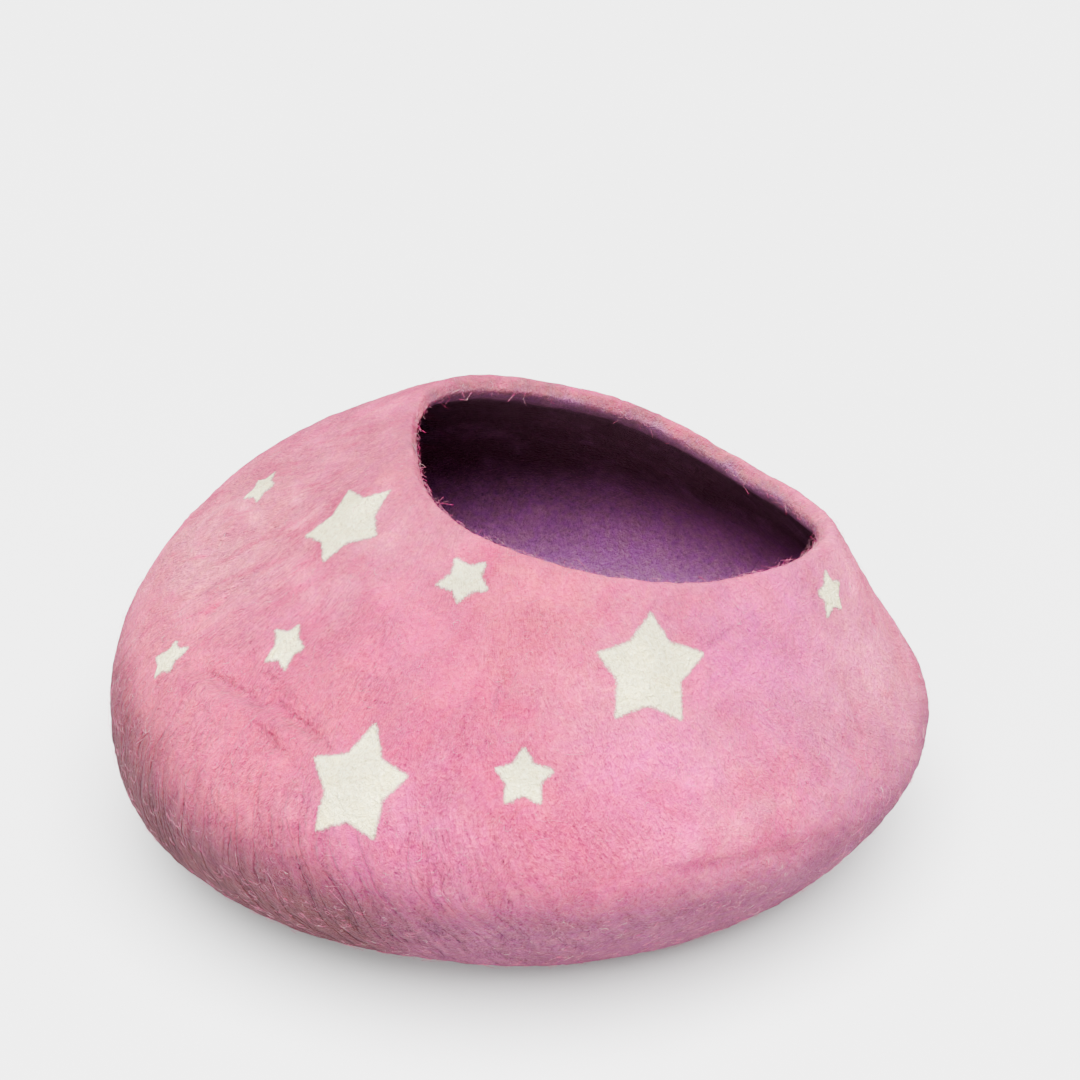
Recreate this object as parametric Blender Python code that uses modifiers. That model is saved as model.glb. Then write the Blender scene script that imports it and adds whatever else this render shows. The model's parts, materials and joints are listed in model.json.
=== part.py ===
# Felted wool cat cave: a one-piece seamless pouch with a flat base and an off-centre top opening,
# and nine stars cut from cream felt and felted onto its front. Metres, +Z up, front towards -Y.
# The origin is on the floor under the middle of the pouch.

import math

import bmesh
import bpy
import numpy as np
from mathutils import Matrix, Vector

MM = 0.001

WALL = 8.0 * MM
LIP_ROUND = 3.6 * MM
LIP_STEPS = 3
LIP_EDGE_ANGLE = 50.0

COLUMNS = 64
ROWS = 30

# Level sections of the pouch from the middle of the base up to the rim, in mm, and how square each
# one is (0 is an ellipse). left_rise and back_rise tip a section up towards the left and the back.
SECTION_COLUMNS = ("height", "centre_x", "centre_y", "half_width", "half_depth", "left_rise", "back_rise",
                   "squareness")
SECTIONS = (
    (-1, 6, -3, 0, 0, 0, 0, 0.00),
    (-1, 6, -3, 90, 84, 0, 0, 0.00),
    (13, 4, 1, 169, 148, -2, -4, 0.00),
    (48, -1, 3, 215, 189, -6, -8, 0.02),
    (92, 0, 1, 228, 208, 3, -6, 0.00),
    (137, 1, -2, 213, 199, 15, 0, -0.04),
    (183, 19, -4, 172, 158, 22, 6, -0.04),
    (233, 52, -9, 114, 89, 25, 4, 0.02),
)
BASE_SHARE = 0.4
NORMAL_STEP = 0.002

# The hand-cut rim strays this many mm right, back and up from its ellipse, every 45 degrees
# counter-clockwise from +X. The drift sets in above DRIFT_STARTS of the way up.
RIM_DRIFT = (
    (3, -2, 0),
    (-6, -3, -6),
    (3, 0, 0),
    (-8, 2, 8),
    (4, 5, -4),
    (-1, 0, -4),
    (3, -4, 0),
    (-1, 0, 4),
)
DRIFT_STARTS = 0.5

# Soft creases (depth below 0) and ridges (above 0). around is in degrees counter-clockwise from +X,
# up is the share of the way from the middle of the base to the rim, and slant is the fold's direction
# in degrees from level, seen from outside. length, width and depth are in mm.
FOLD_COLUMNS = ("around", "up", "slant", "length", "width", "depth")
FOLDS = (
    (192, 0.86, 101, 95, 26, -3.0),
    (172, 0.82, 95, 90, 28, 2.0),
    (224, 0.80, 0, 125, 12, -3.0),
    (222, 0.75, 172, 110, 14, 2.5),
    (236, 0.88, 109, 75, 13, -2.6),
    (247, 0.84, 75, 80, 16, 1.6),
    (254, 0.88, 68, 70, 10, 2.4),
    (260, 0.87, 80, 60, 12, -2.2),
    (301, 0.86, 63, 70, 16, -2.4),
    (314, 0.80, 80, 80, 30, 1.8),
    (332, 0.77, 81, 60, 24, -3.4),
    (301, 0.60, 170, 170, 16, -3.2),
    (285, 0.66, 175, 210, 24, 2.2),
    (20, 0.72, 85, 120, 30, -3.0),
    (58, 0.80, 70, 110, 24, -2.6),
    (92, 0.70, 12, 150, 26, 2.6),
    (128, 0.84, 100, 110, 24, -2.8),
)
FOLDS_START_HEIGHT = 20.0 * MM

STAR_GAP = 0.5 * MM
STAR_THICKNESS = 1.2 * MM
STAR_CORNERS = 10
STAR_NOTCH = 0.6
STAR_LIFT = 30.0 * MM
TOP_BEARING = 90.0
CORNER_TURN = 360.0 / STAR_CORNERS

# Each star's middle on the shell, its mean reach in mm, how much longer it is along stretch_turn, how
# far it is turned from one tip up, and its cuts for the curve of the wall. Angles are in degrees.
STAR_COLUMNS = ("name", "around", "up", "reach", "stretch", "stretch_turn", "turn", "cuts")
STARS = (
    ("star_top_left_small", 170.5, 0.873, 11.0, 1.30, 144, -33, 1),
    ("star_top_left_large", 200.5, 0.943, 25.5, 1.25, 88, -7, 3),
    ("star_under_rim", 237.5, 0.965, 13.5, 1.12, 31, 37, 1),
    ("star_left_small", 219.0, 0.848, 12.5, 1.25, 109, 3, 1),
    ("star_far_left_small", 202.0, 0.750, 11.5, 1.20, 91, -30, 1),
    ("star_low_left_large", 245.0, 0.755, 28.5, 1.15, 80, 0, 3),
    ("star_low_middle", 267.0, 0.805, 15.0, 1.03, 132, -3, 1),
    ("star_right_large", 282.5, 0.920, 29.5, 1.08, 46, -14, 3),
    ("star_far_right_small", 335.0, 0.943, 12.0, 1.15, 14, -16, 1),
)

PINK_WOOL = (0.75, 0.31, 0.44)
CREAM_WOOL = (0.83, 0.74, 0.64)
FELT_ROUGHNESS = 0.95


def clear_scene():
    for old in list(bpy.data.objects):
        bpy.data.objects.remove(old, do_unlink=True)


def felt_material(name, colour):
    material = bpy.data.materials.new(name)
    material.use_nodes = True
    shader = material.node_tree.nodes["Principled BSDF"]
    shader.inputs["Base Color"].default_value = (*colour, 1.0)
    shader.inputs["Roughness"].default_value = FELT_ROUGHNESS
    shader.inputs["Metallic"].default_value = 0.0
    return material


def smooth_step(value):
    value = np.clip(value, 0.0, 1.0)
    return value * value * (3.0 - 2.0 * value)


def spline(rows, place):
    """The natural cubic spline through evenly spaced rows, at places from 0 to 1."""
    rows = np.asarray(rows, float)
    last = len(rows) - 1
    system = np.eye(last + 1)
    pull = np.zeros_like(rows)
    for i in range(1, last):
        system[i, i - 1:i + 2] = 1.0, 4.0, 1.0
        pull[i] = 6.0 * (rows[i + 1] - 2.0 * rows[i] + rows[i - 1])
    bend = np.linalg.solve(system, pull)
    i = np.minimum((place * last).astype(int), last - 1)
    after = (place * last - i)[:, None]
    before = 1.0 - after
    line = before * rows[i] + after * rows[i + 1]
    return line + ((before**3 - before) * bend[i] + (after**3 - after) * bend[i + 1]) / 6.0


def rim_drift(around):
    """How far the rim strays from its ellipse. The table is repeated so that it closes on itself."""
    turns = 3
    rows = np.array(RIM_DRIFT * turns + RIM_DRIFT[:1]) * MM
    return spline(rows, (1.0 + (around / (2.0 * math.pi)) % 1.0) / turns)


def loft(around, up):
    """Points of the outer surface without its folds, for arrays of angles and of shares of the way up."""
    section = dict(zip(SECTION_COLUMNS, spline(SECTIONS, up).T))
    power = 2.0 / (2.0 + section["squareness"])
    across = np.sign(np.cos(around)) * np.abs(np.cos(around)) ** power
    deep = np.sign(np.sin(around)) * np.abs(np.sin(around)) ** power
    x = section["centre_x"] + section["half_width"] * across
    y = section["centre_y"] + section["half_depth"] * deep
    z = section["height"] - section["left_rise"] * across + section["back_rise"] * deep
    base = up < BASE_SHARE
    z[base] = np.maximum(z[base], 0.0)
    points = np.stack([x, y, z], axis=1) * MM
    return points + smooth_step((up - DRIFT_STARTS) / (1.0 - DRIFT_STARTS))[:, None] * rim_drift(around)


def outward(around, up):
    """Unit normals of the loft."""
    up = np.maximum(up, 2.0 * NORMAL_STEP)
    sideways = loft(around + NORMAL_STEP, up) - loft(around - NORMAL_STEP, up)
    upward = loft(around, np.minimum(up + NORMAL_STEP, 1.0)) - loft(around, up - NORMAL_STEP)
    normal = np.cross(sideways, upward)
    return normal / np.linalg.norm(normal, axis=1, keepdims=True)


def frame_at(around_degrees, up):
    """The point, the level and the rising tangent and the normal at one place on the loft."""
    place = np.array([math.radians(around_degrees)]), np.array([up])
    normal = outward(*place)[0]
    level = np.cross((0.0, 0.0, 1.0), normal)
    level /= np.linalg.norm(level)
    return loft(*place)[0], level, np.cross(normal, level), normal


def fold_depth(points, normals):
    """How far the folds push each point out, or in where it is below 0."""
    depth = np.zeros(len(points))
    for row in FOLDS:
        fold = dict(zip(FOLD_COLUMNS, row))
        middle, level, rising, normal = frame_at(fold["around"], fold["up"])
        slant = math.radians(fold["slant"])
        along = math.cos(slant) * level + math.sin(slant) * rising
        offset = points - middle
        lengthways = offset @ along / (0.5 * fold["length"] * MM)
        sideways = offset @ np.cross(normal, along) / (fold["width"] * MM)
        same_side = np.clip(normals @ normal, 0.0, 1.0)
        depth += fold["depth"] * MM * same_side * np.exp(-lengthways**2 - sideways**2)
    return depth * smooth_step(points[:, 2] / FOLDS_START_HEIGHT)


def shell_points(around, up):
    points = loft(around, up)
    normals = outward(around, up)
    return points + normals * fold_depth(points, normals)[:, None]


def place_in_middle(points):
    """Moves the points so that their box is centred over the origin."""
    middle = (points.min(axis=0) + points.max(axis=0)) / 2.0
    shift = Vector((-middle[0], -middle[1], 0.0))
    return points + np.array(shift), shift


def add_object(name, mesh, material, collection):
    mesh.materials.append(material)
    mesh.shade_smooth()
    made = bpy.data.objects.new(name, mesh)
    collection.objects.link(made)
    return made


def turned_disc(name):
    """A flat disc of one radius, turned from a straight line, with COLUMNS sectors and ROWS rings."""
    builder = bmesh.new()
    line = [builder.verts.new((row / ROWS, 0.0, 0.0)) for row in range(ROWS + 1)]
    for inner, outer in zip(line, line[1:]):
        builder.edges.new((inner, outer))
    profile = bpy.data.meshes.new(name + "_profile")
    builder.to_mesh(profile)
    builder.free()
    turned = bpy.data.objects.new(name + "_profile", profile)
    bpy.context.scene.collection.objects.link(turned)
    screw = turned.modifiers.new("turned", "SCREW")
    screw.steps = COLUMNS
    screw.render_steps = COLUMNS
    screw.use_merge_vertices = True
    screw.merge_threshold = 0.5 / ROWS
    screw.use_normal_calculate = True
    screw.use_normal_flip = True
    graph = bpy.context.evaluated_depsgraph_get()
    disc = bpy.data.meshes.new_from_object(turned.evaluated_get(graph))
    disc.name = name
    bpy.data.objects.remove(turned, do_unlink=True)
    bpy.data.meshes.remove(profile)
    return disc


def make_shell(material, collection):
    """A disc drawn up into the pouch's loft, thickened inwards and rounded at the lip."""
    mesh = turned_disc("felt_shell")
    flat = np.zeros((len(mesh.vertices), 3))
    mesh.vertices.foreach_get("co", flat.ravel())
    around = np.arctan2(flat[:, 1], flat[:, 0])
    up = np.clip(np.hypot(flat[:, 0], flat[:, 1]), 0.0, 1.0)
    points, shift = place_in_middle(shell_points(around, up))
    mesh.vertices.foreach_set("co", points.ravel())
    mesh.update()
    shell = add_object("felt_shell", mesh, material, collection)

    wall = shell.modifiers.new("wall", "SOLIDIFY")
    wall.thickness = WALL
    wall.offset = -1.0
    wall.use_even_offset = True
    lip = shell.modifiers.new("rounded_lip", "BEVEL")
    lip.width = LIP_ROUND
    lip.segments = LIP_STEPS
    lip.limit_method = "ANGLE"
    lip.angle_limit = math.radians(LIP_EDGE_ANGLE)
    return shell, shift


def star_outline(star):
    """The corners of a star, as (x, y) in its own plane, tips and notches by turns from the top tip."""
    corners = []
    lean = math.radians(star["stretch_turn"])
    longer = math.sqrt(star["stretch"])
    for i in range(STAR_CORNERS):
        angle = math.radians(TOP_BEARING + star["turn"] + CORNER_TURN * i)
        reach = star["reach"] * MM * (1.0 if i % 2 == 0 else STAR_NOTCH)
        along = reach * math.cos(angle - lean) * longer
        across = reach * math.sin(angle - lean) / longer
        corners.append((along * math.cos(lean) - across * math.sin(lean),
                        along * math.sin(lean) + across * math.cos(lean)))
    return corners


def make_star(star, shell, shift, material, collection):
    """A flat star laid on the wall of the shell from outside, then thickened outwards."""
    builder = bmesh.new()
    bmesh.ops.create_circle(builder, cap_ends=True, cap_tris=True, segments=STAR_CORNERS, radius=1.0)
    outline = star_outline(star)
    for vert in [vert for vert in builder.verts if vert.is_boundary]:
        bearing = math.degrees(math.atan2(vert.co.y, vert.co.x))
        corner = round((bearing - TOP_BEARING) / CORNER_TURN) % STAR_CORNERS
        vert.co = (*outline[corner], 0.0)
    bmesh.ops.recalc_face_normals(builder, faces=builder.faces)
    bmesh.ops.subdivide_edges(builder, edges=builder.edges, cuts=star["cuts"], use_grid_fill=True)
    mesh = bpy.data.meshes.new(star["name"])
    builder.to_mesh(mesh)
    builder.free()
    made = add_object(star["name"], mesh, material, collection)

    middle, level, rising, normal = (Vector(part) for part in frame_at(star["around"], star["up"]))
    made.location = middle + shift + normal * STAR_LIFT
    made.rotation_euler = Matrix((level, rising, normal)).transposed().to_euler()

    laid = made.modifiers.new("laid_on_the_wall", "SHRINKWRAP")
    laid.target = shell
    laid.wrap_method = "PROJECT"
    laid.use_project_z = True
    laid.use_negative_direction = True
    laid.use_positive_direction = False
    laid.wrap_mode = "ABOVE_SURFACE"
    laid.offset = STAR_GAP
    thick = made.modifiers.new("thickness", "SOLIDIFY")
    thick.thickness = STAR_THICKNESS
    thick.offset = 1.0
    return made


def main():
    clear_scene()
    collection = bpy.data.collections.new("felt_cat_cave")
    bpy.context.scene.collection.children.link(collection)
    pink = felt_material("pink_wool_felt", PINK_WOOL)
    cream = felt_material("cream_wool_felt", CREAM_WOOL)
    shell, shift = make_shell(pink, collection)
    for row in STARS:
        make_star(dict(zip(STAR_COLUMNS, row)), shell, shift, cream, collection)


main()
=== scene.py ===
# Looks of a felted wool cat cave: one seamless pouch, pink outside and purple inside, with nine cream
# felt stars laid into its front and loose wool fibres all over. Front towards -Y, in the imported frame.
# Sizes are in mm unless a note says otherwise.
import json
import math

import bpy
import numpy as np
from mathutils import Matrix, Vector
from mathutils.bvhtree import BVHTree

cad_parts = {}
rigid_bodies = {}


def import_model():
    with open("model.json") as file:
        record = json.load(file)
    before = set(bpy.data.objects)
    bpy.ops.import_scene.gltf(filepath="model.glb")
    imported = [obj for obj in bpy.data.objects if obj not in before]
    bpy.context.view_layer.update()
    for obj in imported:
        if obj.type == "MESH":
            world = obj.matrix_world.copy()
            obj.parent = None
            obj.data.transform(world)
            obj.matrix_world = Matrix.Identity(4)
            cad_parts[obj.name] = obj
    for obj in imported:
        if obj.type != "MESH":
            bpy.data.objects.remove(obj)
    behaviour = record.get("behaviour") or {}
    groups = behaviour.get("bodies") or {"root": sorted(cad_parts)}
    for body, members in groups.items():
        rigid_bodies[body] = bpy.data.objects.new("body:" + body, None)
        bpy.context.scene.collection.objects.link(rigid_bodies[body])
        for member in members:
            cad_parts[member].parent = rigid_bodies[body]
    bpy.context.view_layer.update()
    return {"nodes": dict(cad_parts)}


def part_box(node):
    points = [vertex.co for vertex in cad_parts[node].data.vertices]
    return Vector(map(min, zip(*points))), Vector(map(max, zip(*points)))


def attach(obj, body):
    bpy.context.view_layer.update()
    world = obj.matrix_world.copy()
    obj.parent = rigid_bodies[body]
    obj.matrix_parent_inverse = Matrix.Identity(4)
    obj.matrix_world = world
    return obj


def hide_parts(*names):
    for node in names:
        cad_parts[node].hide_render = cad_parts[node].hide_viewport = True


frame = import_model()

mm = 0.001
print("packed frame loaded:", len(frame["nodes"]), "nodes")

# the pouch's form repeats the rows of the part's source
pouch = {
    "wall": 8.0,
    "columns": 396,
    "frontDensity": 1.1,         # how much closer the columns stand in front than behind
    "frontStarts": 0.25, "frontBlend": 0.7,      # and where, by the sine of the way round
    "baseStep": 9.0, "sideStep": 2.3, "innerLipStep": 3.0, "innerStep": 9.0,     # between rows
    "baseReach": 78.0,           # rows this near the middle of the base take the base step
    "innerLipReach": 36.0,       # how far down the inside the finer rows go
    "innerEnd": 2.0,             # the inside's rows stop just short of the middle of the base
    "lipSteps": 18, "lipRise": 1.0,
    "lipWall": 12.5, "lipRoll": 15.0, "lipTaper": 34.0,     # the wall's rolled edge is fuller
    "driftStarts": 0.5,          # share of the way up where the rim's own drift sets in
    "baseShare": 0.4,            # below this share of the way up nothing dips under the floor
    "foldsStartHeight": 20.0,
    "wrinklesInside": 0.3,       # the fine wrinkles hardly show through the wall
}

# level sections from the middle of the base up to the rim
sectionColumns = ("height", "centreX", "centreY", "halfWidth", "halfDepth", "leftRise", "backRise",
                  "squareness")
sections = (
    (-1, 6, -3, 0, 0, 0, 0, 0.00),
    (-1, 6, -3, 90, 84, 0, 0, 0.00),
    (13, 4, 1, 169, 148, -2, -4, 0.00),
    (48, -1, 3, 215, 189, -6, -8, 0.02),
    (92, 0, 1, 228, 208, 3, -6, 0.00),
    (137, 1, -2, 213, 199, 15, 0, -0.04),
    (183, 19, -4, 172, 158, 22, 6, -0.04),
    (233, 52, -9, 114, 89, 25, 4, 0.02),
)

# how far the hand-cut rim strays right, back and up, every 45 degrees counter-clockwise from +X
rimDrift = (
    (3, -2, 0), (-6, -3, -6), (3, 0, 0), (-8, 2, 8),
    (4, 5, -4), (-1, 0, -4), (3, -4, 0), (-1, 0, 4),
)

# Folds (depth below 0 is a crease). around is in degrees counter-clockwise from +X, up is the share of
# the way from the middle of the base to the rim, slant is in degrees from level, seen from outside.
foldColumns = ("around", "up", "slant", "length", "width", "depth")
folds = (
    (192, 0.86, 101, 95, 26, -3.0),
    (172, 0.82, 95, 90, 28, 2.0),
    (224, 0.80, 0, 125, 12, -3.0),
    (222, 0.75, 172, 110, 14, 2.5),
    (236, 0.88, 109, 75, 13, -2.6),
    (247, 0.84, 75, 80, 16, 1.6),
    (254, 0.88, 68, 70, 10, 2.4),
    (260, 0.87, 80, 60, 12, -2.2),
    (301, 0.86, 63, 70, 16, -2.4),
    (314, 0.80, 80, 80, 30, 1.8),
    (332, 0.77, 81, 60, 24, -3.4),
    (301, 0.60, 170, 170, 16, -3.2),
    (285, 0.66, 175, 210, 24, 2.2),
    (20, 0.72, 85, 120, 30, -3.0),
    (58, 0.80, 70, 110, 24, -2.6),
    (92, 0.70, 12, 150, 26, 2.6),
    (128, 0.84, 100, 110, 24, -2.8),
)
# finer wrinkles that only the looks carry
wrinkles = (
    (217, 0.784, 4, 60, 4.4, -4.0),
    (231, 0.795, 163, 50, 4.2, -3.8),
    (229, 0.762, 163, 44, 4.2, -3.4),
    (217, 0.769, 4, 60, 5.6, 3.2),
    (231, 0.779, 166, 50, 5.6, 3.0),
    (192, 0.823, 90, 46, 3.4, -1.7),
    (198, 0.835, 93, 62, 3.4, -1.7),
    (188, 0.878, 90, 60, 3.6, -1.7),
    (257, 0.895, 80, 28, 4.5, -2.8),
    (253, 0.912, 69, 32, 3.6, -1.7),
    (254, 0.858, 76, 54, 3.4, 1.5),
    (258, 0.930, 34, 24, 3.4, -1.1),
    (260, 0.853, 64, 26, 3.2, -1.7),
    (264, 0.878, 73, 30, 3.6, -1.5),
    (248, 0.925, 96, 54, 4.0, -1.5),
    (298, 0.940, 15, 44, 4.0, -1.5),
    (298, 0.907, 59, 34, 3.6, -1.3),
    (320, 0.888, 92, 20, 4.0, -1.7),
    (332, 0.777, 81, 28, 4.5, -1.9),
    (250, 0.615, 97, 40, 3.2, -1.5),
    (254, 0.660, 115, 30, 3.2, -1.5),
    (259, 0.655, 119, 30, 3.2, -1.5),
    (242, 0.598, 99, 32, 3.2, -1.3),
    (300, 0.623, 171, 120, 5.0, -2.1),
)


def named(columns, rows):
    # a table's rows as dictionaries
    return [dict(zip(columns, row)) for row in rows]


def smooth(value):
    value = np.clip(value, 0.0, 1.0)
    return value * value * (3.0 - 2.0 * value)


def spline(rows, place):
    # natural cubic spline through evenly spaced rows, at places from 0 to 1
    rows = np.asarray(rows, float)
    last = len(rows) - 1
    system = np.eye(last + 1)
    pull = np.zeros_like(rows)
    for i in range(1, last):
        system[i, i - 1:i + 2] = 1.0, 4.0, 1.0
        pull[i] = 6.0 * (rows[i + 1] - 2.0 * rows[i] + rows[i - 1])
    bend = np.linalg.solve(system, pull)
    i = np.minimum((place * last).astype(int), last - 1)
    after = (place * last - i)[:, None]
    before = 1.0 - after
    line = before * rows[i] + after * rows[i + 1]
    return line + ((before**3 - before) * bend[i] + (after**3 - after) * bend[i + 1]) / 6.0


def driftAt(around):
    turns = 3                    # the rows are repeated so that the line closes on itself
    rows = rimDrift * turns + rimDrift[:1]
    return spline(rows, (1.0 + (around / (2.0 * math.pi)) % 1.0) / turns)


def loft(around, up):
    # points of the outside without its folds
    section = dict(zip(sectionColumns, spline(sections, up).T))
    power = 2.0 / (2.0 + section["squareness"])
    across = np.sign(np.cos(around)) * np.abs(np.cos(around)) ** power
    deep = np.sign(np.sin(around)) * np.abs(np.sin(around)) ** power
    x = section["centreX"] + section["halfWidth"] * across
    y = section["centreY"] + section["halfDepth"] * deep
    z = section["height"] - section["leftRise"] * across + section["backRise"] * deep
    base = up < pouch["baseShare"]
    z[base] = np.maximum(z[base], 0.0)
    rise = smooth((up - pouch["driftStarts"]) / (1.0 - pouch["driftStarts"]))
    return np.stack([x, y, z], axis=1) + rise[:, None] * driftAt(around)


def outward(around, up):
    step = 0.002                 # small in both directions: radians and share of the way up
    up = np.maximum(up, 2.0 * step)
    sideways = loft(around + step, up) - loft(around - step, up)
    upward = loft(around, np.minimum(up + step, 1.0)) - loft(around, up - step)
    normal = np.cross(sideways, upward)
    return normal / np.linalg.norm(normal, axis=1, keepdims=True)


def frameAt(aroundDegrees, up):
    place = np.array([math.radians(aroundDegrees)]), np.array([up])
    normal = outward(*place)[0]
    level = np.cross((0.0, 0.0, 1.0), normal)
    level /= np.linalg.norm(level)
    return loft(*place)[0], level, np.cross(normal, level), normal


def slantedFrame(row):
    # a row's place on the wall, then directions along its slant, across it and outwards
    middle, level, rising, facing = frameAt(row["around"], row["up"])
    slant = math.radians(row["slant"])
    along = math.cos(slant) * level + math.sin(slant) * rising
    return middle, along, np.cross(facing, along), facing


def foldDepth(points, normals, rows):
    depth = np.zeros(len(points))
    for fold in named(foldColumns, rows):
        middle, along, across, facing = slantedFrame(fold)
        offset = points - middle
        lengthways = offset @ along / (0.5 * fold["length"])
        sideways = offset @ across / fold["width"]
        sameSide = np.clip(normals @ facing, 0.0, 1.0)
        depth += fold["depth"] * sameSide * np.exp(-lengthways**2 - sideways**2)
    return depth * smooth(points[:, 2] / pouch["foldsStartHeight"])


def riseTable():
    # how far up the wall, in mm, each share of the way up lies, on the mean of some columns
    shareCount, turnCount = 401, 16
    shares = np.linspace(0.0, 1.0, shareCount)
    total = np.zeros(shareCount)
    turns = np.linspace(0.0, 2.0 * math.pi, turnCount, endpoint=False)
    for turn in turns:
        points = loft(np.full(shareCount, turn), shares)
        total[1:] += np.cumsum(np.linalg.norm(np.diff(points, axis=0), axis=1))
    return shares, total / turnCount


def steps(start, end, step):
    count = max(1, round(abs(end - start) / step))
    return list(np.linspace(start, end, count, endpoint=False))


def profileRows(rimRise):
    # the wall's section as (rise, depth into the wall, distance past the crest of the lip)
    lipRadius = pouch["lipWall"] / 2.0
    crest = rimRise + pouch["lipRise"]
    lipStart = crest - lipRadius
    rows = [(rise, 0.0) for rise in steps(pouch["baseStep"], pouch["baseReach"], pouch["baseStep"])]
    rows += [(rise, 0.0) for rise in steps(pouch["baseReach"], lipStart, pouch["sideStep"])]
    for i in range(pouch["lipSteps"]):
        turn = math.pi * i / pouch["lipSteps"]
        fall = lipRadius if turn < math.pi / 2.0 else pouch["lipRoll"]
        rows.append((crest - fall * (1.0 - math.sin(turn)), lipRadius * (1.0 - math.cos(turn))))
    innerLipStart = crest - pouch["lipRoll"]
    innerLipEnd = innerLipStart - pouch["innerLipReach"]
    for rise in steps(innerLipStart, innerLipEnd, pouch["innerLipStep"]):
        thinned = smooth((innerLipStart - rise) / pouch["lipTaper"])
        rows.append((rise, pouch["lipWall"] + (pouch["wall"] - pouch["lipWall"]) * thinned))
    innerRises = steps(innerLipEnd, pouch["innerEnd"], pouch["innerStep"])
    rows += [(rise, pouch["wall"]) for rise in innerRises]
    rows = np.array(rows)
    travelled = np.concatenate([[0.0], np.cumsum(np.linalg.norm(np.diff(rows, axis=0), axis=1))])
    return rows[:, 0], rows[:, 1], travelled - travelled[np.argmax(rows[:, 0])]


def columnAngles():
    # closer together in front, where the stars are
    sampleCount = 4001
    fine = np.linspace(0.0, 2.0 * math.pi, sampleCount)
    inFront = smooth((pouch["frontStarts"] - np.sin(fine)) / pouch["frontBlend"])
    weight = 1.0 + pouch["frontDensity"] * inFront
    total = np.concatenate([[0.0], np.cumsum((weight[1:] + weight[:-1]) / 2.0)])
    places = np.linspace(0.0, total[-1], pouch["columns"], endpoint=False)
    return np.interp(places, total, fine)


def wallPoints(around, up, depth):
    points = loft(around, up)
    normals = outward(around, up)
    inside = depth > pouch["wall"] / 2.0
    push = foldDepth(points, normals, folds)
    fine = foldDepth(points, normals, wrinkles)
    fine[inside] *= pouch["wrinklesInside"]
    return points + normals * (push + fine - depth)[:, None]


def makeMesh(name, points, faces, material):
    mesh = bpy.data.meshes.new(name)
    mesh.from_pydata([tuple(point) for point in points], [], faces)
    mesh.materials.append(material)
    mesh.shade_smooth()
    mesh.validate()
    made = bpy.data.objects.new(name, mesh)
    bpy.context.scene.collection.objects.link(made)
    return made


def gridFaces(rows, columns):
    # quads between closed rings of vertices
    faces = []
    for row in range(rows - 1):
        for column in range(columns):
            after = (column + 1) % columns
            low, high = row * columns, (row + 1) * columns
            faces.append((low + column, low + after, high + after, high + column))
    return faces


def fanFaces(pole, ring, columns, flip):
    faces = []
    for column in range(columns):
        a, b = ring + column, ring + (column + 1) % columns
        faces.append((pole, a, b) if flip else (pole, b, a))
    return faces


def addAttribute(mesh, name, values):
    attribute = mesh.attributes.new(name, "FLOAT", "POINT")
    attribute.data.foreach_set("value", np.asarray(values, np.float32))


def pouchShift():
    # from the table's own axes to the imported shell's place, by the widest girth
    turns, ups = np.meshgrid(np.radians(np.arange(0.0, 360.0, 2.0)), np.linspace(0.3, 0.9, 61))
    points = wallPoints(turns.ravel(), ups.ravel(), np.zeros(turns.size))
    middle = (points.min(axis=0) + points.max(axis=0)) / 2.0
    lowest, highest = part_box("felt_shell")
    packed = (lowest + highest) / 2.0 / mm
    return np.array([packed.x - middle[0], packed.y - middle[1], 0.0])


def makePouchBody(material, shift):
    shares, rises = riseTable()
    rise, depth, past = profileRows(rises[-1])
    angles = columnAngles()
    up = np.interp(rise, rises, shares)
    aroundGrid = np.tile(angles, len(up))
    upGrid = np.repeat(up, len(angles))
    depthGrid = np.repeat(depth, len(angles))
    points = wallPoints(aroundGrid, upGrid, depthGrid)
    outerPole = wallPoints(angles[:1], np.array([0.0]), np.array([0.0]))[0]
    innerPole = outerPole + (0.0, 0.0, pouch["wall"])
    points = np.vstack([points, outerPole, innerPole])
    count = len(up) * len(angles)
    faces = gridFaces(len(up), len(angles))
    faces += fanFaces(count, 0, len(angles), False)
    faces += fanFaces(count + 1, count - len(angles), len(angles), True)
    made = makeMesh("felt_pouch", (points + shift) * mm, faces, material)
    addAttribute(made.data, "pastCrest", np.append(np.repeat(past, len(angles)), [past[0], past[-1]]))
    addAttribute(made.data, "rise", np.append(np.repeat(rise, len(angles)), [0.0, 0.0]))
    print("pouch body:", len(faces), "faces, shifted by", shift.round(2))
    return made


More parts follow.
